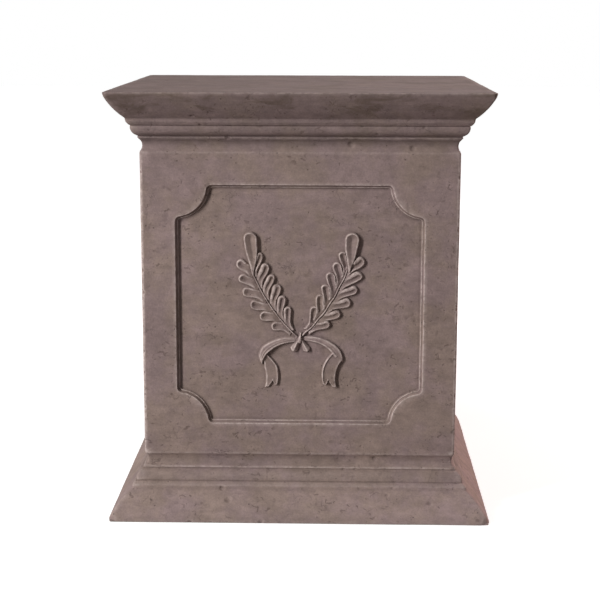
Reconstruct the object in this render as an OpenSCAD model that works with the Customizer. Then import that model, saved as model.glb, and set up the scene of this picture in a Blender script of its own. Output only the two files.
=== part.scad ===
// Square garden pedestal, cast in one piece: a moulded base, a plain shaft with a
// sunk scoop-cornered panel on each side, and a moulded cap. The front panel carries
// two leafy sprays tied with a ribbon. Origin: middle of the underside, +Z up, front
// on -Y.

/* [Overall] */
// Height from the ground to the top of the cap
height = 612; // [520:1:760]
// Width of the square shaft
shaft_w = 450; // [370:1:560]

/* [Cap moulding] */
// How far the top edge of the cap stands out from the shaft
cap_reach = 45; // [36:0.5:60]
// Height of the sloping crown
cap_crown_h = 37; // [28:0.5:46]
// Height of the eased fillet under the crown
cap_fillet_h = 10.5; // [8:0.5:15]
// Height of the rounded band
cap_band_h = 15.5; // [10:0.5:19]
// Height of the small bevelled band
cap_bevel_h = 7.5; // [6:0.5:12]
// Height of the hollow neck next to the shaft
cap_neck_h = 15; // [11:0.5:20]

/* [Base moulding] */
// How far the bottom edge of the base stands out from the shaft
base_reach = 49.5; // [38:0.5:62]
// Height of the sloping skirt
base_skirt_h = 41.5; // [30:0.5:52]
// Height of the eased fillet on the skirt
base_fillet_h = 9.5; // [7:0.5:14]
// Height of the rounded band
base_band_h = 16.5; // [12:0.5:22]
// Height of the small bevelled band
base_bevel_h = 6.5; // [4:0.5:10]
// Height of the hollow neck next to the shaft
base_neck_h = 15.5; // [10:0.5:20]

/* [Steps of both mouldings] */
// How far the fillet stands out from the shaft
fillet_reach = 17; // [15:0.5:22]
// How far the rounded band stands out from the shaft at its widest
band_reach = 11.5; // [9.5:0.5:14]
// How far the small band stands out from the shaft
bevel_reach = 4; // [3:0.5:6]
// Depth of the neck behind the shaft
neck_sink = 3.5; // [2:0.5:6]
// Depth of the creases between the members
crease = 1.5; // [0.5:0.25:3]
// Bulge of the sloping crown and skirt
slope_bulge = 2.4; // [0.5:0.1:4]

/* [Sunk panels] */
// Plain margin at each side of a panel
panel_side_margin = 48.5; // [36:0.5:60]
// Plain margin above and below a panel
panel_end_margin = 45.5; // [34:0.5:58]
// Radius of the scooped corners
scoop_r = 45; // [30:0.5:56]
// Depth of the panel's field behind the shaft's face
panel_depth = 7; // [5:0.5:10]
// Width of each of the steps down to the field
panel_step = 2.5; // [1.6:0.1:4]
// Number of steps down to the field
panel_steps = 3; // [1:1:4]

/* [Carving] */
// Height of the knot over the middle of the panel
knot_rise = -44; // [-60:1:-30]
// Length of a spray's stem
stem_len = 121; // [105:1:130]
// Radius of the stem's curve
stem_bend_r = 248; // [180:1:400]
// Lean of the stem where it leaves the knot, up from level
stem_lean = 43; // [38:1:52]
// Width of the stem
stem_w = 4; // [2.5:0.1:6]
// Pairs of leaves on a spray
leaf_pairs = 6; // [3:1:6]
// Spacing of the leaf pairs along the stem
leaf_pitch = 18.8; // [15:0.1:20]
// Width of a leaf
leaf_w = 12; // [9:0.1:14]
// Width of the leaf at the end of a spray
end_leaf_w = 20; // [15:0.1:25]
// Length of the leaf at the end of a spray
end_leaf_len = 56; // [40:1:62]
// Width of a leaf's raised rim
rim_w = 2; // [1.2:0.1:3]
// Height of the carving above the panel's field
relief = 6; // [4:0.5:8]
// Width of a ribbon's hanging tail
tail_w = 17; // [12:0.5:20]

/* [Hidden] */

cap_h = cap_crown_h + cap_fillet_h + cap_band_h + cap_bevel_h + cap_neck_h;
base_h = base_skirt_h + base_fillet_h + base_band_h + base_bevel_h + base_neck_h;
shaft_h = height - cap_h - base_h;
shaft_r = shaft_w / 2;
panel_w = shaft_w - 2 * panel_side_margin;
panel_h = shaft_h - 2 * panel_end_margin;
panel_z = base_h + shaft_h / 2;
field_r = shaft_r - panel_depth;
root = 2;            // how deep the carving is rooted behind the field
first_leaf = 21;     // stem length below the first pair of leaves
leaf_reach = 23;     // how far along the stem an inner leaf's tip lies past its foot
round_steps = 5;     // flats in a rounded member
edge_r = 3;          // rounding of the outermost edge
spray_foot = [4, 2];
end_leaf_lean = 5;   // of the end leaf, out from upright
cast_stone = [0.51, 0.44, 0.42];

// Points of a shallow arc from a to b that bulges to the right of the line by sag
function bulged(a, b, sag, n = round_steps) = [for (i = [0:n])
    let (t = i / n, d = (b - a) / norm(b - a))
    a + (b - a) * t + [d.y, -d.x] * sag * 4 * t * (1 - t)];

// Half outline of a moulding: reach from the middle against height. It starts at the
// outer face of the slab and ends where the shaft's face begins.
function moulding(reach, slab, fillet, band, bevel, neck) =
    let (outer = shaft_r + reach, f = shaft_r + fillet_reach, b = shaft_r + band_reach,
         v = shaft_r + bevel_reach, z1 = slab, z2 = z1 + fillet, z3 = z2 + band,
         z4 = z3 + bevel, z5 = z4 + neck)
    concat([[outer - edge_r / 2, 0], [outer, edge_r / 2]],
           bulged([outer, edge_r], [f, z1], slope_bulge),
           [[f, z1 + crease], [f, z1 + fillet * 0.45], [b + crease / 2, z2 - crease / 2],
            [b - crease / 2, z2]],
           bulged([b, z2 + crease / 2], [b - band / 2, z3 - crease], slope_bulge),
           [[v - crease, z3], [v, z3 + crease], [v - bevel * 0.7, z4 - crease / 2]],
           bulged([shaft_r - neck_sink / 2, z4], [shaft_r, z5], -neck_sink));

module moulded_block(half) {
    outline = concat([[0, 0]], half, [[0, half[len(half) - 1].y]]);
    intersection_for (turn = [0, 90])
        rotate([90, 0, turn])
            linear_extrude(2 * half[2].x, center = true)
                union() {
                    polygon(outline);
                    mirror([1, 0]) polygon(outline);
                }
}

module base_moulding()
    moulded_block(moulding(base_reach, base_skirt_h, base_fillet_h, base_band_h,
                           base_bevel_h, base_neck_h));

module cap_moulding()
    translate([0, 0, height]) mirror([0, 0, 1])
        moulded_block(moulding(cap_reach, cap_crown_h, cap_fillet_h, cap_band_h,
                               cap_bevel_h, cap_neck_h));

module shaft()
    translate([0, 0, height / 2])
        cube([shaft_w, shaft_w, shaft_h + base_neck_h], center = true);

// A rectangle with a round bite at each corner, drawn in by inset all round
module scooped(inset) {
    difference() {
        square([panel_w - 2 * inset, panel_h - 2 * inset], center = true);
        for (x = [-1, 1], y = [-1, 1])
            translate([x * panel_w / 2, y * panel_h / 2]) circle(scoop_r + inset, $fn = 96);
    }
}

module panel_recess()
    for (i = [0:panel_steps])
        let (down = panel_depth * (i + 1) / (panel_steps + 1))
            translate([0, 0, -down]) linear_extrude(down + 1) scooped(i * panel_step);

// Stands the drawing of a panel upright on the front, its middle on the panel's
module on_front(out) translate([0, -out, panel_z]) rotate([90, 0, 0]) children();

// A point along a spray's stem, and the way the stem leans there
function lean(s) = stem_lean + s / stem_bend_r * 180 / PI;
function stem_at(s) = spray_foot + stem_bend_r
    * [sin(lean(s)) - sin(stem_lean), cos(stem_lean) - cos(lean(s))];

// A point beside the stem, positive on the inner side
function beside(s, off) = stem_at(s) + off * [-sin(lean(s)), cos(lean(s))];

// Half width of a leaf from foot to tip: slim foot, widest past the middle, round tip
function leaf_half(t, foot) = t < 0.62
    ? foot + (1 - foot) * sin(90 * t / 0.62)
    : sqrt(max(0, 1 - pow((t - 0.62) / 0.38, 2)));

// A strip of changing width along a curve that bows to the left of the line a-b
function strip(a, b, bow, half, n = 14) =
    let (d = (b - a) / norm(b - a), side = [-d.y, d.x])
    [for (k = [0, 1], i = [0:n])
        let (t = (k == 0 ? i : n - i) / n, s = k == 0 ? 1 : -1)
        a + (b - a) * t + side * (bow * 4 * t * (1 - t) + s * half[k == 0 ? i : n - i])];

module leaf(foot, tip, bow, w, foot_share)
    polygon(strip(foot, tip, bow, [for (i = [0:14]) w / 2 * leaf_half(i / 14, foot_share)]));

// The inner leaves stand steeply and the outer ones lean out, longest in mid spray
module side_leaves()
    for (k = [0:leaf_pairs - 1]) {
        s = first_leaf + k * leaf_pitch;
        swell = sin(180 * k / (leaf_pairs - 1));
        leaf(beside(s, 1), beside(s + leaf_reach, 16.5 + 5.5 * swell), -2, leaf_w, 0.5);
        leaf(beside(s - 2, -3), beside(s + leaf_reach - 7 + k, -16.5 - 7 * swell), -2,
             leaf_w, 0.5);
    }

module end_leaf() {
    foot = stem_at(stem_len - 7);
    leaf(foot, foot + end_leaf_len * [sin(end_leaf_lean), cos(end_leaf_lean)], 0,
         end_leaf_w, 0.14);
}

module stem()
    polygon(concat([for (i = [0:16]) beside(stem_len * i / 16, stem_w / 2)],
                   [for (i = [16:-1:0]) beside(stem_len * i / 16, -stem_w / 2)]));

// The ribbon leaves the knot along a quarter of an ellipse and widens to its fold
module ribbon_arm() {
    mid = [7, -34];
    radii = [46, 31];
    function arm(a, w) = mid + [(radii.x + w) * sin(a), (radii.y + w) * cos(a)];
    polygon(concat([for (a = [-10:10:100]) arm(a, 3.5 + a / 32)],
                   [for (a = [100:-10:-10]) arm(a, -3.5 - a / 32)]));
}

module ribbon_tail() {
    top = [51, -33];
    end = [41, -74];
    difference() {
        polygon(strip(top, end, -5, [for (i = [0:14]) tail_w / 2]));
        translate(end) rotate(-10) polygon([[-5, -3], [0, 8], [5, -3]]);
    }
}

// The short ends flare from the knot to their rounded tips
module knot_ends()
    for (tip = [[11, -23], [-8, -23]])
        polygon(strip([0, 0], tip, 0, [for (i = [0:14]) 1.5 + 4 * sin(12 * i)]));

module both_ways() {
    children();
    mirror([1, 0]) children();
}

// One storey of the carving, rooted in the field and standing high above it
module storey(high) translate([0, 0, -root]) linear_extrude(root + high) children();

module carving()
    translate([0, knot_rise]) {
        difference() {
            storey(relief * 0.8) both_ways() {
                side_leaves();
                end_leaf();
            }
            translate([0, 0, relief * 0.45]) linear_extrude(relief)
                both_ways() {
                    offset(delta = -rim_w) side_leaves();
                    offset(delta = -rim_w) end_leaf();
                }
        }
        storey(relief * 0.9) both_ways() stem();
        storey(relief * 0.85) both_ways() ribbon_arm();
        storey(relief * 0.6) both_ways() ribbon_tail();
        storey(relief * 0.75) knot_ends();
        storey(relief) leaf([1, 6], [-1, -11], 0, 7, 0.4);
    }

module pedestal()
    color(cast_stone) union() {
        difference() {
            union() {
                base_moulding();
                shaft();
                cap_moulding();
            }
            for (turn = [0:90:270]) rotate(turn) on_front(shaft_r) panel_recess();
        }
        on_front(field_r) carving();
    }

pedestal();
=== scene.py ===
# %% [markdown]
# # A square cast-stone pedestal
# The real object is one casting: a moulded base, a square shaft with a sunk panel on each side, and a
# moulded cap. Two leafy sprays tied with a ribbon stand in relief on the front panel. This lesson builds
# it as one closed mesh from flat grids that are bent into place, because every part of it follows a
# rule: a moulding is one profile carried round a square, a panel is a set of nested outlines, and the
# carving is a height over the panel's field.

# %% The frame
import math
import random

import bmesh
import bpy
import numpy as np
from mathutils import Matrix, Vector, noise


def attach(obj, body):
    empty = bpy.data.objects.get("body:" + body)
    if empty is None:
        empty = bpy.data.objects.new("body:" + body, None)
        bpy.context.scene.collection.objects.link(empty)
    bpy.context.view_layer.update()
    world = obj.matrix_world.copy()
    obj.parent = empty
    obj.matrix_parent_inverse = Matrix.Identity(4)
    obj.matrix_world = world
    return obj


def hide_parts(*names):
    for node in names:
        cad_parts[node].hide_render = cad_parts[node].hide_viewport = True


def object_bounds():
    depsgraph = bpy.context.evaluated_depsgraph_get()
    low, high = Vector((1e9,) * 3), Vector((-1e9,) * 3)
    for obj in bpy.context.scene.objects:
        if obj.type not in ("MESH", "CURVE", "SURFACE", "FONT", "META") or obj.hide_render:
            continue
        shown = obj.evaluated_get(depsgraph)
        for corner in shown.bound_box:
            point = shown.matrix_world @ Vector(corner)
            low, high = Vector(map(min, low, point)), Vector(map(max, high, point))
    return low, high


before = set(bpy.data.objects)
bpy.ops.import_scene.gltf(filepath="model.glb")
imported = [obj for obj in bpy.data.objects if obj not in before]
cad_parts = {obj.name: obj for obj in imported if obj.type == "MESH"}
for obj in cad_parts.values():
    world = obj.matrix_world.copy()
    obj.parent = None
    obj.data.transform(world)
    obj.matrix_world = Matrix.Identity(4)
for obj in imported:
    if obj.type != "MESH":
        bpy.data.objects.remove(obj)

cad_low, cad_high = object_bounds()
mm = 0.001
print("CAD box", [round(c, 4) for c in (*cad_low, *cad_high)])

# %% [markdown]
# ## The camera
# It stands a little above the cap and looks down on it through a long lens, which keeps the square
# shaft from spreading. It is made first, so that every later step can be looked at.

# %% Camera
camera_data = bpy.data.cameras.new("camera")
camera_data.sensor_width = 36
camera_data.lens = 88.42
camera = bpy.data.objects.new("camera", camera_data)
camera.location = (0.0489, -2.2816, 0.7228)
camera.rotation_euler = (math.radians(78.845), math.radians(-0.114), math.radians(1.367))
bpy.context.collection.objects.link(camera)
bpy.context.scene.camera = camera

# %% [markdown]
# ## Sizes
# The height comes from the frame, and the rest is set out here. The members of the two mouldings are
# measured as a reach beyond the shaft's face and a height, as a plasterer would set them out.

# %% Overall sizes
height = cad_high.z - cad_low.z
shaft_r = 225 * mm
cap_h = 85.5 * mm  # the sum of the cap's members
base_h = 89.5 * mm  # and of the base's
arris_r = 3 * mm
print("height", round(height, 3), "shaft", round(2 * shaft_r, 3))


# %% [markdown]
# ## Profiles
# A run moulding is a line of flats and swells. Each corner of the line is eased by its own small
# radius, because a mould never gives a razor edge. Two functions do it: one puts a swell between two
# points, and one eases the corners.

# %% Swells and eased corners
def swell(a, b, sag, parts):
    """The points between a and b on a shallow arc that stands out to the right of the line by sag."""
    a, b = Vector(a), Vector(b)
    side = Vector(((b - a).y, -(b - a).x)).normalized()
    return [(*(a.lerp(b, i / parts) + side * sag * 4 * i / parts * (1 - i / parts)), 0.0)
            for i in range(1, parts)]


def eased(points, parts=2):
    """A line with each (x, y, radius) corner rounded off by a small curve of so many parts."""
    line = []
    for i, (x, y, r) in enumerate(points):
        here = Vector((x, y))
        if r == 0 or i in (0, len(points) - 1):
            line.append(here)
            continue
        before = Vector(points[i - 1][:2]) - here
        after = Vector(points[i + 1][:2]) - here
        cut = min(r, 0.45 * before.length, 0.45 * after.length)
        a, b = here + before.normalized() * cut, here + after.normalized() * cut
        for k in range(parts + 1):
            t = k / parts
            line.append(a.lerp(here, t).lerp(here.lerp(b, t), t))
    return line


def moulding(reach, slab, fillet, band, bevel, neck):
    """(reach from the middle, height from the slab's outer face) of a moulding, slab first. reach:
    how far the slab stands beyond the shaft. The rest are the heights of the members, all in mm."""
    outer, f, b, v, n = (shaft_r + out * mm for out in (reach, 17, 11.6, 3.2, -3.8))
    z = [0.0]  # the seams between the members
    for member in (slab, fillet, band, bevel, neck):
        z.append(z[-1] + member * mm)
    # the slab's edge and its long swelling slope
    points = [(outer - 12 * mm, 0, 0), (outer, 0, 2.6 * mm), (outer - 0.6 * mm, 3.4 * mm, 1.5 * mm)]
    points += swell((outer - 0.6 * mm, 3.4 * mm), (f + 0.4 * mm, z[1]), 2.5 * mm, 6)
    # the fillet, eased into the band, and the band's swell
    points += [(f + 0.4 * mm, z[1], 1.2 * mm), (f, z[1] + 4.6 * mm, 3 * mm),
               (b + 1.4 * mm, z[2] - 0.9 * mm, 0.7 * mm), (b - 0.6 * mm, z[2] - 0.1 * mm, 0.4 * mm),
               (b, z[2] + 1.2 * mm, 0.8 * mm)]
    points += swell((b, z[2] + 1.2 * mm), (v - 0.2 * mm, z[3] - mm), 2.6 * mm, 6)
    # a crease, the bevel, and the hollow neck that meets the shaft
    points += [(v - 0.2 * mm, z[3] - mm, 0.6 * mm), (v - 1.6 * mm, z[3] - 0.2 * mm, 0.5 * mm),
               (v - 0.5 * mm, z[3] + 1.6 * mm, 1.2 * mm), (v - 4.8 * mm, z[4] - 1.2 * mm, 1.2 * mm),
               (n + 1.2 * mm, z[4] + 0.4 * mm, 0.8 * mm)]
    points += swell((n + 1.2 * mm, z[4] + 0.4 * mm), (n + 1.4 * mm, z[5] - 3.6 * mm), -1.2 * mm, 4)
    points += [(n + 1.4 * mm, z[5] - 3.6 * mm, 1.4 * mm), (shaft_r, z[5] - 0.2 * mm, 2.4 * mm),
               (shaft_r, z[5] + 5 * mm, 0)]
    return eased(points)


base_profile = moulding(reach=49.1, slab=41.5, fillet=9.5, band=16.5, bevel=6.5, neck=15.5)
cap_profile = moulding(reach=44.7, slab=37, fillet=10.5, band=15.5, bevel=7.5, neck=15)
print("profile points", len(base_profile), len(cap_profile))


# %% [markdown]
# ## Bending a grid
# The same three steps make every surface: bmesh lays a flat grid, each corner of the grid is moved to
# the place that its column and row stand for, and the seams are merged at the end. The grid's faces
# stay four-sided and even, which is what later smoothing and carving need.

# %% Bent grids
def turned(quarters):
    """A turn about the upright axis by so many quarters."""
    return Matrix.Rotation(math.radians(90) * quarters, 3, "Z")


def bent_grid(bm, columns, rows, place):
    """Lays a grid and moves each corner to place(column, row)."""
    made = bmesh.ops.create_grid(bm, x_segments=columns, y_segments=rows, size=0.5)
    for v in made["verts"]:
        v.co = place(round((v.co.x + 0.5) * columns), round((v.co.y + 0.5) * rows))


across, upright, corner = 36, 44, 3  # cells across a face, up a face and round an arris


def square_ring(i, reach, z):
    """Point i of a ring round a square with softened corners, counted from the front left."""
    side, k = divmod(i, across + corner)
    flat = reach - arris_r
    if k <= across:
        at = Vector((flat * (2 * k / across - 1), -reach, z))
    else:
        turn = math.radians(90) * ((k - across) / corner - 1)
        at = Vector((flat + arris_r * math.cos(turn), -flat + arris_r * math.sin(turn), z))
    return turned(side) @ at


def moulding_shell(bm, profile, place_z):
    """Carries a profile round the square. place_z turns its height into the real one."""
    bent_grid(bm, 4 * (across + corner), len(profile) - 1,
              lambda i, j: square_ring(i, profile[j].x, place_z(profile[j].y)))


# %% The two mouldings and the flat ends
body = bmesh.new()
moulding_shell(body, base_profile, lambda h: cad_low.z + h)
moulding_shell(body, cap_profile, lambda h: cad_high.z - h)


def flat_end(bm, profile, z):
    """Closes an end with rings that shrink to a small square in the middle."""
    edge = profile[0].x
    shares = [1, 0.93, 0.82, 0.66, 0.48, 0.3]
    bent_grid(bm, 4 * (across + corner), len(shares) - 1,
              lambda i, j: square_ring(i, edge, z) * shares[j] + Vector((0, 0, z)) * (1 - shares[j]))
    inner = [v for v in bm.verts if abs(v.co.z - z) < mm / 100
             and max(abs(v.co.x), abs(v.co.y)) < edge * (shares[-1] + 0.001)]
    bmesh.ops.remove_doubles(bm, verts=inner, dist=mm / 20)
    rim = {e for v in inner if v.is_valid for e in v.link_edges if len(e.link_faces) == 1}
    bmesh.ops.contextual_create(bm, geom=list(rim))


flat_end(body, base_profile, cad_low.z)
flat_end(body, cap_profile, cad_high.z)
print("mouldings", len(body.faces), "faces")

# %% [markdown]
# ## The sunk panels
# Each panel is a rectangle with a round bite out of every corner, stepped down to its field. The
# outline is worked out once for any inset. Nested outlines then make the margin, the steps and the
# field, like the rings of a target, down to a plain rectangle that the carving is raised on.

# %% The scooped outline
side_margin, end_margin = 48.5 * mm, 45.5 * mm
panel_half = Vector((shaft_r - side_margin, (height - cap_h - base_h) / 2 - end_margin))
panel_mid_z = (base_h + height - cap_h) / 2
scoop_r = 45 * mm
nose_r = 8 * mm
bite, nose = 7, 4  # points on half of a scoop and on the small curve beside it
field_half = Vector((100 * mm, 125 * mm))


def scooped_side(half, out, parts, inset):
    """One side of the outline, from the middle of one bite to the next, as (along, outward)."""
    near = max(nose_r - inset, 1.5 * mm)
    reach = scoop_r + inset
    start = math.asin((inset + near) / (reach + near))
    corner_x = half - (reach + near) * math.cos(start)
    points = []
    for k in range(bite):
        a = math.radians(45) + (start - math.radians(45)) * k / bite
        points.append((-half + reach * math.cos(a), out - reach * math.sin(a)))
    for k in range(nose):
        a = start + (math.radians(90) - start) * k / nose
        points.append((-corner_x - near * math.cos(a), out - inset - near + near * math.sin(a)))
    straight = parts - 2 * (bite + nose)
    left = points + [(corner_x * (2 * k / straight - 1), out - inset) for k in range(straight)]
    right = [(-a, b) for a, b in points]
    return left + [(corner_x, out - inset)] + right[:0:-1]


def round_four(sides):
    """Turns the bottom, right, top and left sides into one ring of points."""
    ring = []
    for turn, side in enumerate(sides):
        for a, b in side:
            ring.append(Vector(((a, -b), (b, a), (-a, b), (-b, -a))[turn]))
    return ring


def scooped(inset):
    level = scooped_side(panel_half.x, panel_half.y, across, inset)
    rising = scooped_side(panel_half.y, panel_half.x, upright, inset)
    return round_four([level, rising, level, rising])


def rectangle(half):
    level = [(half.x * (2 * k / across - 1), half.y) for k in range(across)]
    rising = [(half.y * (2 * k / upright - 1), half.x) for k in range(upright)]
    return round_four([level, rising, level, rising])


def between(a, b, share):
    return [p.lerp(q, share) for p, q in zip(a, b)]


# %% Nested outlines of a panel
panel_depth = 7 * mm
face_top = height - cap_profile[-1].y
face_bottom = base_profile[-1].y
face_half = Vector((shaft_r - arris_r, (face_top - face_bottom) / 2))
face_mid_z = (face_top + face_bottom) / 2
edge_steps = [  # inset and depth of the steps from the margin down to the field, in mm
    (-1.6, 0.0), (-0.4, 0.0), (0.0, 0.15), (0.25, 0.6), (0.7, 2.2), (1.4, 3.3), (1.8, 3.9), (2.1, 4.6),
    (2.5, 4.7), (3.0, 4.3), (3.5, 4.5), (4.0, 5.3), (4.6, 6.4), (5.0, 6.9), (5.6, 7.05), (6.2, 7.0),
    (9.0, 7.0)]
margin = [Vector((p.x, p.y + face_mid_z - panel_mid_z)) for p in rectangle(face_half)]
field = rectangle(field_half)
steps = [(scooped(inset * mm), depth * mm) for inset, depth in edge_steps]
rings = [(margin, 0.0)]
rings += [(between(margin, steps[0][0], share), 0.0) for share in (0.05, 0.5, 0.85)]
rings += steps
rings += [(between(steps[-1][0], field, share), panel_depth) for share in (0.3, 0.65, 1)]
print("panel outlines", len(rings), "of", len(rings[0][0]), "points")


def on_side(u, v, depth, quarter):
    """A point of a panel drawing, stood up on one of the four faces."""
    return turned(quarter) @ Vector((u, depth - shaft_r, v + panel_mid_z))


def panel_sheet(bm, quarter):
    """The margin, steps and field of one face, and the softened corner beside it."""
    def ringed(i, j):
        outline, depth = rings[j]
        p = outline[i % len(outline)]
        return on_side(p.x, p.y, depth, quarter)

    def arris(i, j):
        a = math.radians(90) * (i / corner - 1)
        flat = shaft_r - arris_r
        z = face_bottom + (face_top - face_bottom) * j / upright
        return turned(quarter) @ Vector(
            (flat + arris_r * math.cos(a), arris_r * math.sin(a) - flat, z))

    bent_grid(bm, len(margin), len(rings) - 1, ringed)
    bent_grid(bm, corner, upright, arris)


for quarter in range(4):
    panel_sheet(body, quarter)

# %% [markdown]
# ## The carving as a height
# The mould of a shallow relief has no undercuts, so the carving can be worked out as a height at each
# point of the field. Where two leaves meet, the higher one shows. The other strokes are laid over the
# last like paint: each has a mask, which says where it covers what is under it, and a height of its
# own. All the strokes work on whole arrays of points.

# %% Strokes
relief = 6.2 * mm  # how far the highest strokes stand out of the field


def step(low, high, x):
    """0 below low, 1 above high and a smooth rise between."""
    t = np.clip((x - low) / (high - low), 0, 1)
    return t * t * (3 - 2 * t)


def along(u, v, foot, tip, bow):
    """How far along the line foot-tip each point is, from 0 to 1, and how far to its left."""
    (ax, ay), (bx, by) = foot, tip
    length = math.hypot(bx - ax, by - ay)
    dx, dy = (bx - ax) / length, (by - ay) / length
    t = ((u - ax) * dx + (v - ay) * dy) / length
    s = (v - ay) * dx - (u - ax) * dy - bow * 4 * t * (1 - t)
    return t, s, length


def lay(h, mask, own):
    """Covers h with a stroke's own height where its mask is 1."""
    return h * (1 - mask) + own * mask


def leaf(u, v, foot, tip, bow, curl, width, slim, top, dip, rim=1.3 * mm, wall=1.5 * mm, start=0.12,
         fall=0.0, side=0):
    """A leaf with a round tip: a raised rim round a V-shaped trough. dip: how deep the trough is.
    wall: how wide the slope of its edge is. start: where along the leaf the trough begins. fall: how
    much lower the foot lies than the tip. side: 1 or -1 keeps the trough to the left or the right."""
    t, s, length = along(u, v, foot, tip, bow)
    s = s - curl * np.sin(np.clip(t, 0, 1) * 2 * math.pi)
    half, widest = width / 2, 1 - width / 2 / length
    rise = np.sin(np.clip(t / widest, 0, 1) * math.pi / 2) ** 1.3
    w = half * (slim + (1 - slim) * rise)
    past = np.clip((t - widest) / (1 - widest), 0, None)
    inside = np.where(t < widest, w - abs(s), half * (1 - np.sqrt(past ** 2 + (s / half) ** 2)))
    inside = np.where(t < 0.1, np.minimum(inside, t * length + 2 * mm), inside)
    trough = np.clip((inside - rim) / (half - rim), 0, 1)
    if side:
        trough = 1.3 * trough * step(-0.5, 0.5, side * s / half)
    edge = np.sin(np.clip((inside + 0.2 * mm) / wall, 0, 1) * math.pi / 2)
    body_h = 1 - dip * step(start, start + 0.36, t) * trough
    return top * edge * body_h * (1 - fall * (1 - np.clip(t, 0, 1)))


# %% [markdown]
# ## The sprays
# A stem is an arc of a circle. The leaves leave it in pairs at an even spacing. The inner leaves stand
# steeply and the outer ones lean out, and both are longest in the middle of the spray. One larger leaf
# ends it. The small ones are cut in three ways: hollow leaves with a thin rim, solid fingers parted by
# slits, and soft leaves that sink into the ground beside the stem.

# %% Stem and leaves
stem_len, stem_r, stem_lean = 121 * mm, 248 * mm, math.radians(43)
stem_foot = (4 * mm, 2 * mm)
leaf_pitch, leaf_pairs, first_leaf = 18.8 * mm, 6, 21 * mm
hollow = dict(dip=0.66, rim=1.3 * mm, wall=1.5 * mm, start=0.1)
finger = dict(dip=0.62, rim=1.0 * mm, wall=2.5 * mm, start=0.1)
sunken = dict(dip=0.6, rim=1.5 * mm, wall=1.9 * mm, start=0.36, fall=0.55)
knot = (0.4 * mm, -45.4 * mm)


def stem_at(s, off):
    """A point beside the stem of the right-hand spray; off is positive on the inner side."""
    lean = stem_lean + s / stem_r
    x = stem_foot[0] + stem_r * (math.sin(lean) - math.sin(stem_lean)) - off * math.sin(lean)
    y = stem_foot[1] + stem_r * (math.cos(stem_lean) - math.cos(lean)) + off * math.cos(lean)
    return x, y


def ridge(h, dist, there, width, top, groove):
    """A raised line with a narrow groove on each side. dist: from its middle. there: where it runs."""
    sunk = h - groove * step(width * 1.1, width * 0.7, abs(dist))
    own = np.maximum(sunk, top * np.sqrt(np.clip(1 - (dist / width * 1.7) ** 2, 0, 1)))
    return np.where(there, own, h)


def spray(u, v, inner, outer, kinds, end, top):
    """One spray, drawn as the right-hand one. inner and outer: reach along, offset and swell. kinds:
    how the inner and the outer leaves are cut. end: the end leaf's foot, along the stem and beside
    it, and the way from there to its tip."""
    x, y = u - stem_foot[0], v - stem_foot[1]
    cx, cy = -stem_r * math.sin(stem_lean), stem_r * math.cos(stem_lean)
    dist = np.hypot(x - cx, y - cy) - stem_r
    s_along = (np.arctan2(x - cx, cy - y) - stem_lean) * stem_r
    h = np.zeros_like(u)
    for k in range(leaf_pairs):
        s = first_leaf + k * leaf_pitch
        mid = math.sin(math.pi * k / (leaf_pairs - 1))
        uneven = math.sin(2.4 * k + inner[0])
        h = np.maximum(h, leaf(
            u, v, stem_at(s - 9 * mm, 1 * mm),
            stem_at(s + (inner[0] + 0.8 * uneven) * mm, (inner[1] + inner[2] * mid) * mm),
            (-2.4 + 0.7 * uneven) * mm, -1.3 * mm, (13.3 + 0.6 * uneven) * mm, 0.76, top, **kinds[0]))
        h = np.maximum(h, leaf(
            u, v, stem_at(s - 10 * mm, -1 * mm),
            stem_at(s + (outer[0] + k) * mm, -(outer[1] + outer[2] * mid - 0.7 * uneven) * mm),
            (2 - 0.8 * uneven) * mm, 1.3 * mm, (14.6 - 0.7 * uneven) * mm, 0.84, top, **kinds[1]))
    valley = 0.6 + 0.4 * step(0, 11 * mm, abs(dist))
    h = h * np.where(s_along < stem_len + 6 * mm, valley, 1)
    foot = stem_at(stem_len - end[0] * mm, end[1] * mm)
    last = leaf(u, v, foot, (foot[0] + end[2] * mm, foot[1] + end[3] * mm), 0.6 * mm, 0,
                width=20 * mm, slim=0.2, top=top * 1.1, dip=0.55, rim=1.6 * mm)
    h = lay(h, step(0.02 * mm, 0.8 * mm, last), last)
    there = (s_along > -6 * mm) & (s_along < stem_len - 6 * mm)
    return ridge(h, dist, there, width=2.1 * mm, top=relief * 0.72, groove=0.8 * mm)


# %% [markdown]
# ## The ribbon and the knot
# The ribbon leaves the knot along a quarter of an ellipse on each side, turns over and hangs in a
# tail with a swallow-tail end. On the left the tail comes out from behind the arm, and on the right
# it lies over it. Two short ends and an upright wrap make the knot.

# %% Ribbon
def arm(h, u, v, mid, radii, thick, end, tilt, top):
    """The ribbon's arm, drawn on the right. mid and radii: of its ellipse. thick: its half width at
    four places. end: the angle it ends at. tilt: how much lower its outer edge lies."""
    a = np.arctan2((u - mid[0]) / radii[0], (v - mid[1]) / radii[1])
    share = np.clip(a / end, 0, 1)
    centre_x, centre_y = mid[0] + radii[0] * np.sin(a), mid[1] + radii[1] * np.cos(a)
    off = np.hypot(u - centre_x, v - centre_y) * np.sign(
        ((u - mid[0]) / radii[0]) ** 2 + ((v - mid[1]) / radii[1]) ** 2 - 1)
    half = np.interp(share, (0, 0.55, 0.78, 1), thick)
    inside = np.minimum(half - abs(off), (end - a) * radii[1])
    inside = np.where(a < -0.25, -mm, inside)
    q = off / half
    crease = 0.16 * np.exp(-((q + 0.36) / 0.1) ** 2) + 0.05 * np.exp(-((q - 0.2) / 0.12) ** 2)
    own = top * (0.6 + 0.4 * step(0, 0.6, share)) * (1 - tilt * step(-1.1, 1.1, q) - crease)
    soft = np.where(q > 0, 0.9 * mm + tilt * 3 * mm, 0.9 * mm)
    return lay(h, step(-0.6 * mm, soft, inside), own)


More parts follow.
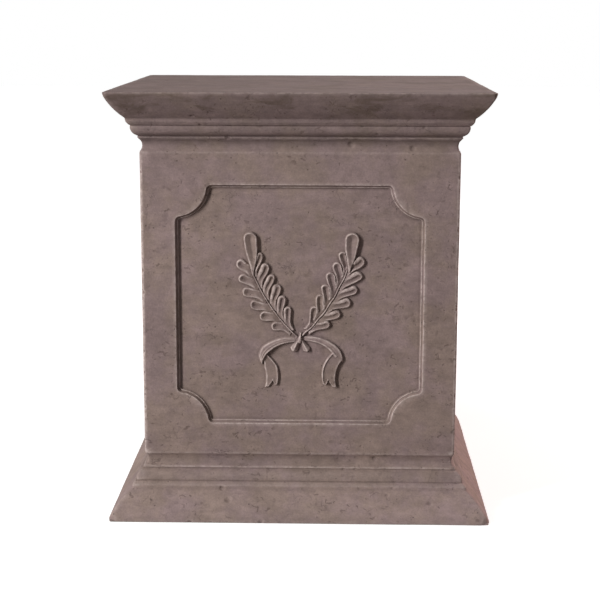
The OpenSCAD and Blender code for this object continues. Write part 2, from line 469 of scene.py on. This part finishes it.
def tail(h, u, v, head, end, bow, half, neck, skew, top):
    """A hanging tail with a raised hem, a slanting head and a notched end. neck: how narrow its head
    is. skew: how much the head slants."""
    t, s, length = along(u, v, head, end, bow)
    half = half * np.interp(t, (0, 0.4), (neck, 1))
    notch = (1 - t) * length - 7.5 * mm * (1 - np.clip(abs(s + 0.8 * mm) / (4.6 * mm), 0, 1))
    start = (t * length - skew * (5 * mm + s)) / math.hypot(1, skew)
    inside = np.minimum(np.minimum(half - abs(s), notch), start)
    hem = np.where(s < 0, 0.24, 0.07) * step(3.2 * mm, 1.3 * mm, inside)
    own = top * (0.74 + hem)
    return lay(h, step(-0.5 * mm, 0.8 * mm, inside), own)


def short_end(h, u, v, tip, top):
    """A short end that flares from the knot like a petal, with two slopes meeting in a ridge."""
    t, s, length = along(u, v, (0.0, 0.0), tip, 0)
    half = (1.8 + 4.2 * np.clip(t, 0, 1)) * mm
    inside = np.minimum(half - abs(s), (1 - t) * length + 0.6 * mm - s * s / (8 * mm))
    own = top * (1 - 0.66 * np.clip(abs(s) / half, 0, 1))
    return lay(h, step(-0.5 * mm, 0.8 * mm, inside), np.where(t > 0, own, h))


def carving(u, v):
    """The height of the whole carving over the field, at points of the panel drawing."""
    x, y = u - knot[0], v - knot[1]
    wander = 0.6 * mm * np.sin(x / (5.5 * mm) + 0.9) * np.sin(y / (6.7 * mm))
    a, b = x + wander, y - wander
    right = spray(a, b, inner=(25, 14.5, 6.5), outer=(18, 16.5, 7),
                  kinds=(hollow, finger | dict(side=-1)), end=(6, -3.6, 4.6, 55.5), top=relief * 0.84)
    left = spray(-a - mm, b + mm, inner=(22, 19, 6), outer=(14, 15, 8),
                 kinds=(finger | dict(side=1), sunken), end=(12, 0, 5.5, 61), top=relief * 0.84)
    h = np.maximum(right, left)
    h = tail(h, -x, y, head=(51 * mm, -27 * mm), end=(41 * mm, -73 * mm), bow=-5.5 * mm, half=9 * mm,
             neck=0.45, skew=0, top=relief * 0.6)
    h = arm(h, -x, y, mid=(7 * mm, -34 * mm), radii=(48.5 * mm, 30 * mm),
            thick=(4 * mm, 7.1 * mm, 4.8 * mm, 0.6 * mm), end=1.8, tilt=0.5, top=relief)
    h = arm(h, x, y, mid=(7 * mm, -33 * mm), radii=(48.5 * mm, 30.5 * mm),
            thick=(3.4 * mm, 6.2 * mm, 6.8 * mm, 6.6 * mm), end=1.66, tilt=0.14, top=relief * 0.78)
    h = tail(h, x, y, head=(56 * mm, -26 * mm), end=(43.5 * mm, -72.5 * mm), bow=-7 * mm,
             half=10.2 * mm, neck=0.94, skew=0.49, top=relief * 0.92)
    h = short_end(h, x, y, tip=(11.5 * mm, -21 * mm), top=relief * 0.9)
    h = short_end(h, x, y, tip=(-9.5 * mm, -21 * mm), top=relief * 0.9)
    knot_wrap = leaf(x, y, (1.2 * mm, 4 * mm), (-0.8 * mm, -10 * mm), 0, 0, width=7 * mm, slim=0.5,
                     top=relief * 1.1, dip=0, wall=2.4 * mm)
    return np.maximum(h, knot_wrap)


# %% [markdown]
# ## Raising the carving
# The front field starts as an even grid. It is divided three times, but only where the carving rises,
# so the leaves get cells of about 0.7 mm and the plain field stays light. Then each point moves out of
# the field by the carving's height.

# %% The four fields
def field_sheet(bm, quarter):
    bent_grid(bm, across, upright, lambda i, j: on_side(
        field_half.x * (2 * i / across - 1), field_half.y * (2 * j / upright - 1), panel_depth, quarter))


def middles(faces):
    centres = [f.calc_center_median() for f in faces]
    return (np.array([c.x for c in centres]), np.array([c.z - panel_mid_z for c in centres]))


def divide(bm, faces, chosen):
    """Halves the edges of the chosen faces, but not the sheet's border, which has to fit the ring
    round it."""
    edges = {e for f, yes in zip(faces, chosen) if yes for e in f.edges if not e.is_boundary}
    bmesh.ops.subdivide_edges(bm, edges=list(edges), cuts=1, use_grid_fill=True)


def near_relief(u, v, reach, least):
    """True where the carving changes by more than least within reach of the point."""
    shifts = (-reach, -reach / 2, 0, reach / 2, reach)
    heights = [carving(u + a, v + b) for a in shifts for b in shifts]
    return np.ptp(heights, axis=0) > least


front = bmesh.new()
field_sheet(front, 0)
for reach, least in ((5.5 * mm, 0.05 * mm), (2.2 * mm, 0.12 * mm), (0.9 * mm, 0.64 * mm)):
    faces = list(front.faces)
    divide(front, faces, near_relief(*middles(faces), reach, least))
    print("front field", len(front.faces), "faces")
us = np.array([v.co.x for v in front.verts])
vs = np.array([v.co.z - panel_mid_z for v in front.verts])
for v, h in zip(front.verts, carving(us, vs)):
    v.co.y -= h
spare = bpy.data.meshes.new("front field")
front.to_mesh(spare)
front.free()
body.from_mesh(spare)
bpy.data.meshes.remove(spare)
for quarter in range(1, 4):
    field_sheet(body, quarter)

# %% [markdown]
# ## Closing the shell
# Merging the doubled corners sews the sheets into one closed skin. The check counts open edges, which
# must be none, and turns the faces outward.

# %% One closed skin
bmesh.ops.remove_doubles(body, verts=body.verts, dist=0.02 * mm)
bmesh.ops.recalc_face_normals(body, faces=body.faces)

open_edges = sum(1 for e in body.edges if len(e.link_faces) != 2)
print("open edges", open_edges, "volume", round(body.calc_volume(), 4))

# %% [markdown]
# ## A hand-made surface
# A casting is never dead flat, because the mould has its own swells and the arrises get knocked. The
# skin is divided finely round each knock, so that it can take a small dent. Then every point moves
# along its normal by a slow noise, and the points near a knock move in.

# %% Where it is knocked
luck = random.Random(11)
ends = [(cap_profile, lambda h: cad_high.z - h), (base_profile, lambda h: cad_low.z + h)]
front_marks = (  # across, up, reach beyond the shaft and radius, in mm
    (71, 538, -3.5, 5.5), (157, 533, -3, 5), (-149, 579, 21, 4), (109, 82, -2, 5), (188, 26, 31, 5),
    (-102, 28, 30, 6))
knocks = []
for _ in range(64):
    profile, place_z = ends[luck.random() < 0.55]
    p = luck.choice([q for q in profile if q.x > shaft_r + mm])
    side = turned(luck.randrange(4))
    at = side @ Vector((luck.uniform(-1, 1) * p.x, -p.x, place_z(p.y)))
    knocks.append((at, luck.uniform(2, 5) * mm))
for _ in range(24):
    side = turned(luck.randrange(4))
    at = side @ Vector((shaft_r - mm, mm - shaft_r, luck.uniform(face_bottom, face_top)))
    knocks.append((at, luck.uniform(2, 4) * mm))

# the four corners of the foot are the most knocked, and the front has some marks of its own
foot, tip = base_profile[2].x - mm, cap_profile[2].x - mm
for quarter in range(4):
    knocks.append((turned(quarter) @ Vector((foot, -foot, cad_low.z + 2 * mm)), 11 * mm))
    knocks.append((turned(quarter) @ Vector((tip, -tip, cad_high.z - 3 * mm)), 5 * mm))
for x, z, out, r in front_marks:
    knocks.append((Vector((x * mm, -shaft_r - out * mm, z * mm)), r * mm))

for reach in (2.6, 1.8, 1.2):  # as shares of the knock's radius
    faces = list(body.faces)
    centres = np.array([f.calc_center_median() for f in faces])
    size = np.array([max(e.calc_length() for e in f.edges) for f in faces])
    chosen = np.zeros(len(faces), bool)
    for at, r in knocks:
        chosen |= np.linalg.norm(centres - np.array(at), axis=1) < reach * r + size / 2
    edges = {e for f, yes in zip(faces, chosen) if yes for e in f.edges if e.calc_length() > 1.1 * mm}
    bmesh.ops.subdivide_edges(body, edges=list(edges), cuts=1, use_grid_fill=True)
print("after dividing", len(body.faces), "faces")

# %% Swells and dents
skin = bpy.data.meshes.new("pedestal_casting")
body.to_mesh(skin)
body.free()


def numbers(values, name, count, kind=float):
    got = np.empty(len(values) * count, kind)
    values.foreach_get(name, got)
    return got.reshape(-1, count)


co, normal = numbers(skin.vertices, "co", 3), numbers(skin.vertices, "normal", 3)
waves = np.array([0.34 * noise.noise(Vector(p) / 0.05) + 0.16 * noise.noise(Vector(p) / 0.017)
                  for p in co]) * mm
for at, r in knocks:
    near = 1 - (np.linalg.norm(co - np.array(at), axis=1) / r) ** 2
    waves -= np.where(near > 0, near, 0) ** 1.5 * 0.3 * r
moved = np.clip(co + normal * waves[:, None], np.array(cad_low), np.array(cad_high))
moved[co[:, 2] < cad_low.z + 0.1 * mm, 2] = cad_low.z
skin.vertices.foreach_set("co", moved.ravel())
skin.update()
for polygon in skin.polygons:
    polygon.use_smooth = True
pedestal = bpy.data.objects.new("pedestal_casting", skin)
bpy.context.collection.objects.link(pedestal)
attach(pedestal, "root")
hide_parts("pedestal")
skin.calc_loop_triangles()
print("triangles", len(skin.loop_triangles))

# %% [markdown]
# ## Worn arrises with painted highlight, and creases with dirt and painted shade
# Handling and rain rub the arrises pale, and soot and algae stay in the creases; the pale arrises also
# serve as painted highlight, and the dark creases as painted shade. Both follow from the shape: a copy
# of the skin is smoothed over about two millimetres, and each point is compared with it. Points that
# stand proud of the copy are worn and highlighted, and points below it hold dirt and painted shade.


# %% Standing proud
def proud(mesh, rounds, reach):
    """How far each point stands out from a copy of the mesh that is smoothed so many rounds over.
    reach: the length from which a longer edge pulls less."""
    co, normal = numbers(mesh.vertices, "co", 3), numbers(mesh.vertices, "normal", 3)
    a, b = numbers(mesh.edges, "vertices", 2, np.int32).T
    weight = np.minimum(1, (reach / np.linalg.norm(co[a] - co[b], axis=1)) ** 2)
    size = len(co)
    total = np.bincount(a, weight, size) + np.bincount(b, weight, size)
    soft = co.copy()
    for _ in range(rounds):
        for c in range(3):
            pull = np.bincount(a, weight * soft[b, c], size) + np.bincount(b, weight * soft[a, c], size)
            soft[:, c] += 0.5 * (pull - total * soft[:, c]) / np.maximum(total, 4)
    return ((co - soft) * normal).sum(axis=1)


stands = proud(skin, 30, 0.7 * mm) / mm
proudness_attribute = skin.attributes.new("stands_proud_mm", "FLOAT", "POINT")
proudness_attribute.data.foreach_set("value", stands.astype(np.float32))
print("stands proud, mm", np.percentile(stands, (0, 1, 5, 50, 95, 99, 100)).round(2))


# %% [markdown]
# ## The finish: weathered cast stone, with painted shade and highlight
# Cast stone is fine crushed stone and cement, rammed or poured in a mould and left matt. Iron stains
# and a thin wash give it a mottled mauve brown, paler where rain and hands have worn the arrises, and
# that pale also serves as a painted highlight on the arrises.

# %% Colour and node helpers
def linear(code):
    """An sRGB hex colour as linear RGBA."""
    parts = [int(code[i:i + 2], 16) / 255 for i in (1, 3, 5)]
    return (*[c / 12.92 if c <= 0.04045 else ((c + 0.055) / 1.055) ** 2.4 for c in parts], 1)


def add(tree, kind, settings=None, **links):
    """Adds a node. settings go on the node or its inputs, and links feed its inputs."""
    node = tree.nodes.new(kind)
    for name, value in (settings or {}).items():
        if hasattr(node, name):
            setattr(node, name, value)
        else:
            node.inputs[name].default_value = value
    for name, source in links.items():
        tree.links.new(source, node.inputs[name.replace("_", " ")])
    return node


# %% The stone's material and the nodes it is mixed from
stone = bpy.data.materials.new("weathered cast stone with painted light")
stone.use_nodes = True
tree = stone.node_tree
shader = tree.nodes["Principled BSDF"]
shader.inputs["Roughness"].default_value = 0.8
shader.inputs["Specular IOR Level"].default_value = 0.3
place = add(tree, "ShaderNodeTexCoord").outputs["Object"]
parted = add(tree, "ShaderNodeSeparateXYZ", Vector=place)
across_at, height_at = parted.outputs["X"], parted.outputs["Z"]
proud_at = add(tree, "ShaderNodeAttribute", {"attribute_name": "stands_proud_mm"}).outputs["Fac"]


def noise_at(wave, detail=3, rough=0.55, stretch=(1, 1, 1), warp=0.0):
    """A noise with waves of so many mm. stretch: less than 1 draws it out along that axis."""
    at = add(tree, "ShaderNodeMapping", {"Scale": stretch}, Vector=place).outputs[0]
    return add(tree, "ShaderNodeTexNoise", {"Scale": 1 / (wave * mm), "Detail": detail,
                                            "Roughness": rough, "Distortion": warp},
               Vector=at).outputs["Fac"]


def ranged(value, low, high, start=0.0, end=1.0):
    """start at low, end at high, and a straight run between."""
    node = add(tree, "ShaderNodeMapRange", {"From Min": low, "From Max": high, "To Min": start,
                                            "To Max": end}, Value=value)
    return node.outputs["Result"]


def by_height(low, high, start, end):
    """The same by the height above the ground, in mm."""
    return ranged(height_at, low * mm, high * mm, start, end)


def fed(node, sockets, values):
    """Sets or links the given sockets and returns the node."""
    for socket, value in zip(sockets, values):
        if isinstance(value, bpy.types.NodeSocket):
            tree.links.new(value, socket)
        else:
            socket.default_value = value
    return node


def maths(kind, *values):
    node = add(tree, "ShaderNodeMath", {"operation": kind})
    return fed(node, node.inputs, values).outputs[0]


def times(a, b):
    return maths("MULTIPLY", a, b)


def mixed(share, a, b):
    node = add(tree, "ShaderNodeMix", {"data_type": "RGBA"})
    return fed(node, (node.inputs[0], node.inputs[6], node.inputs[7]), (share, a, b)).outputs[2]


def tinted(colour, share, code):
    """The colour with a share of another laid over it."""
    return mixed(share, colour, linear(code))


def scaled(colour, by):
    node = add(tree, "ShaderNodeVectorMath", {"operation": "SCALE"})
    return fed(node, (node.inputs[0], node.inputs[3]), (colour, by)).outputs[0]


# %% [markdown]
# ### Cement
# The cement is mauve where the thin wash holds and a little browner where the sand shows through.
# Cloudy lights and darks lie over it, from a hand across down to a grain across.

# %% Cement and clouds
patches = maths("ADD", noise_at(60, 5, 0.62), by_height(100, 550, 0.05, -0.04))
colour = mixed(ranged(patches, 0.42, 0.6), linear("#8b7876"), linear("#8a7870"))
colour = scaled(colour, ranged(noise_at(110, 2), 0.3, 0.7, 0.93, 1.09))
colour = scaled(colour, ranged(noise_at(22, 5, 0.7), 0.3, 0.7, 0.84, 1.14))
colour = scaled(colour, ranged(noise_at(9, 3, 0.6, (0.6, 0.6, 1.3)), 0.35, 0.65, 0.93, 1.06))
colour = scaled(colour, ranged(noise_at(2.4, 3, 0.6), 0.3, 0.7, 0.9, 1.1))

# %% [markdown]
# ### Weather, painted shade on the cap and painted light on the foot
# The foot is paler, partly real and partly painted light on its upward-facing skirt, with a dark line
# where it meets the ground. Soot darkens the cap, its crown and most of all the flat top. The cap is
# also darker from its neck up, partly as painted shade under its downward-facing bands, and the bevel
# round 544 mm under the cap's band is painted darker still, as the shade that the band throws. The
# foot ends 42 mm up, the base 90 mm, the cap starts at 527 mm, its crown at 575 mm, and the top is at
# 612 mm.

# %% Soot, stains, painted shade on the cap and painted light on the foot
# painted light and paler cement: the skirt below 40 mm is made much paler than the rest, in place of the
# light that falls on its upward face
colour = scaled(colour, by_height(50, 40, 1.02, 1.17))
# painted shade and soot: the cap is darker from its neck up, partly as the shade under its
# downward-facing bands
colour = scaled(colour, by_height(530, 543, 1, 0.82))
streaks = noise_at(14, 4, 0.6, (0.35, 0.35, 1.6))
soot = times(by_height(575, 600, 0.3, 1), ranged(streaks, 0.3, 0.6, 0.75, 1.05))
colour = tinted(colour, times(soot, 0.25), "#5f5048")
stains = ranged(noise_at(38, 4, 0.65, (0.6, 0.6, 1.6), 0.5), 0.5, 0.62)
stains = times(stains, by_height(570, 590, 0.25, 1))
colour = tinted(colour, times(stains, 0.5), "#4d3f31")
# painted shade: the bevel round 544.5 mm, under the cap's band, is darkened as the band's shadow
from_shaded_bevel = maths("ABSOLUTE", maths("SUBTRACT", height_at, 544.5 * mm))
colour = scaled(colour, ranged(from_shaded_bevel, 5 * mm, 12 * mm, 0.82, 1))
colour = scaled(colour, by_height(1, 12, 0.84, 1))
grime = times(ranged(across_at, -0.2, 0.12, 0.8, 0.3), ranged(streaks, 0.35, 0.6, 0.7, 1.1))
colour = tinted(colour, times(grime, by_height(610, 611.6, 0, 1)), "#5c4b47")

# %% Dirt and painted shade in the creases, and pale worn cement with painted highlight on the arrises
broken = noise_at(7, 3, 0.6)
# dirt and painted shade: points below the smoothed copy are darkened, as grime and as the shade that
# falls in creases
crease_dirt_and_shade = times(ranged(proud_at, -0.05, -0.36, 0, 0.26), ranged(broken, 0.25, 0.5, 0.6, 1))
colour = tinted(colour, crease_dirt_and_shade, "#3c302e")
# painted highlight and wear: proud arrises and rims are made pale, partly as worn cement and partly as
# the light they catch
rubbed_and_highlight = times(ranged(proud_at, 0.08, 0.42, 0, 0.86), ranged(broken, 0.4, 0.62, 0.35, 1))
rubbed_and_highlight = times(times(rubbed_and_highlight, by_height(505, 530, 1, 0.3)), by_height(78, 86, 0.45, 1))
colour = tinted(colour, rubbed_and_highlight, "#c9b8b2")

# %% [markdown]
# ### Marks
# Hair cracks and the rims of lost bubbles show in a few places. Small chips and scuffs lie thicker in
# some places than in others. The cap has level marks where its mould was drawn, and the top has the
# marks of a trowel.

# %% Cracks, pits, chips and scuffs
lines = maths("ABSOLUTE", maths("SUBTRACT", noise_at(16, 3, 0.6, warp=0.6), 0.5))
crack = times(ranged(lines, 0.010, 0.003), ranged(noise_at(38, 2), 0.6, 0.68))
colour = tinted(colour, times(crack, 0.52), "#4a3d3b")
cells = add(tree, "ShaderNodeTexVoronoi", {"Scale": 1 / (13 * mm)}, Vector=place)
pit = times(ranged(cells.outputs["Distance"], 0.1, 0.06), ranged(noise_at(30, 1), 0.5, 0.56))
colour = tinted(colour, times(pit, 0.65), "#463936")
chips = ranged(noise_at(7.5, 2, 0.5, (0.75, 0.75, 1.1), 1.2), 0.63, 0.68)
chips = times(chips, ranged(noise_at(48, 2, 0.6), 0.44, 0.56))
colour = tinted(colour, times(chips, 0.52), "#54443f")
scuffs = ranged(noise_at(17, 4, 0.6, (1.2, 1.2, 0.8), 0.8), 0.6, 0.68)
scuffs = times(scuffs, ranged(noise_at(90, 2), 0.46, 0.54))
colour = tinted(colour, times(scuffs, 0.34), "#5a4a45")

# %% Drag and trowel marks
drag = maths("SUBTRACT", noise_at(7, 4, 0.65, (0.09, 0.09, 1.3)), 0.5)
drag = times(drag, by_height(530, 550, 0.07, 0.44))
trowel = maths("SUBTRACT", noise_at(8, 5, 0.68, (0.07, 1, 0.2)), 0.5)
trowel = times(trowel, by_height(609, 611.2, 0, 0.7))
colour = scaled(colour, maths("ADD", maths("ADD", drag, trowel), 1))
tree.links.new(colour, shader.inputs["Base Color"])

# %% Fine sand, soft lumps, and the cracks, pits and chips cut in
fine = times(noise_at(1.8, 3, 0.6), 0.25)
lumps = times(noise_at(9, 3, 0.5, (1, 1, 1.5)), 0.9)
cut = times(maths("MAXIMUM", maths("MAXIMUM", crack, pit), chips), -0.5)
surface = add(tree, "ShaderNodeBump", {"Strength": 1.0, "Distance": 0.5 * mm},
              Height=maths("ADD", maths("ADD", fine, lumps), cut))
tree.links.new(surface.outputs["Normal"], shader.inputs["Normal"])
skin.materials.append(stone)

# %% [markdown]
# ## The studio
# A pale floor and three soft lamps: a tall key from the upper left, so that the carving throws its
# shadows to the right, a faint one above, and a warm one on the right, which lights that side.

# %% Floor, lamps and world
def lamp(name, at, aim, wide, tall, watts, tint="#ffffff"):
    data = bpy.data.lights.new(name, "AREA")
    data.shape = "RECTANGLE"
    data.size, data.size_y = wide, tall
    data.energy = watts
    data.color = linear(tint)[:3]
    made = bpy.data.objects.new(name, data)
    made.location = at
    made.rotation_euler = (Vector(aim) - Vector(at)).to_track_quat("-Z", "Y").to_euler()
    bpy.context.collection.objects.link(made)


middle = (0, 0, height / 2)
lamp("key", (-3.6, -3.13, 2.05), middle, 0.6, 3.15, 270)
lamp("above", (0, -0.4, 2.5), middle, 1.4, 1.4, 9)
lamp("right", (2.6, 1.2, 1.3), middle, 1.4, 1.4, 72, "#ffe0da")

floor_mesh = bpy.data.meshes.new("floor")
ground = bmesh.new()
bmesh.ops.create_grid(ground, x_segments=1, y_segments=1, size=12)
ground.to_mesh(floor_mesh)
ground.free()
floor = bpy.data.objects.new("floor", floor_mesh)
floor.location.z = cad_low.z - 0.2 * mm
bpy.context.collection.objects.link(floor)


def pale_floor():
    paint = bpy.data.materials.new("pale studio floor")
    paint.use_nodes = True
    tree = paint.node_tree
    shader = tree.nodes["Principled BSDF"]
    seen = add(tree, "ShaderNodeLightPath").outputs["Is Camera Ray"]
    # the camera sees it nearly white, and it throws back less light than that on the stone
    looks = add(tree, "ShaderNodeMix", {"data_type": "RGBA"})
    tree.links.new(seen, looks.inputs[0])
    looks.inputs[6].default_value, looks.inputs[7].default_value = linear("#9c9896"), linear("#f4f2f0")
    tree.links.new(looks.outputs[2], shader.inputs["Base Color"])
    shader.inputs["Roughness"].default_value = 0.9
    # the far floor gets a little more glow, which keeps it white, and the near floor keeps the shadow
    place = add(tree, "ShaderNodeTexCoord").outputs["Object"]
    away = add(tree, "ShaderNodeVectorMath", {"operation": "LENGTH"})
    tree.links.new(place, away.inputs[0])
    strength = add(tree, "ShaderNodeMapRange", {"From Min": 0.45, "From Max": 1.3, "To Min": 3.4,
                                                "To Max": 4.5}, Value=away.outputs["Value"])
    glow = add(tree, "ShaderNodeEmission", Strength=strength.outputs["Result"])
    share = add(tree, "ShaderNodeMath", {"operation": "MULTIPLY"})
    tree.links.new(seen, share.inputs[0])
    share.inputs[1].default_value = 0.2
    mix = add(tree, "ShaderNodeMixShader")
    tree.links.new(share.outputs[0], mix.inputs[0])
    tree.links.new(shader.outputs[0], mix.inputs[1])
    tree.links.new(glow.outputs[0], mix.inputs[2])
    tree.links.new(mix.outputs[0], tree.nodes["Material Output"].inputs["Surface"])
    return paint


floor_mesh.materials.append(pale_floor())

# the surround is white to the eye and in reflections, and gives the stone only a little light
world = bpy.data.worlds.new("studio")
bpy.context.scene.world = world
world.use_nodes = True
sky = world.node_tree
surround = sky.nodes["Background"]
surround.inputs["Color"].default_value = (1, 1, 1, 1)
seen = add(sky, "ShaderNodeLightPath")
either = add(sky, "ShaderNodeMath", {"operation": "MAXIMUM"})
sky.links.new(seen.outputs["Is Camera Ray"], either.inputs[0])
sky.links.new(seen.outputs["Is Glossy Ray"], either.inputs[1])
level = add(sky, "ShaderNodeMapRange", {"To Min": 0.05, "To Max": 1.0}, Value=either.outputs[0])
sky.links.new(level.outputs["Result"], surround.inputs["Strength"])

bpy.context.scene.view_settings.view_transform = "Standard"
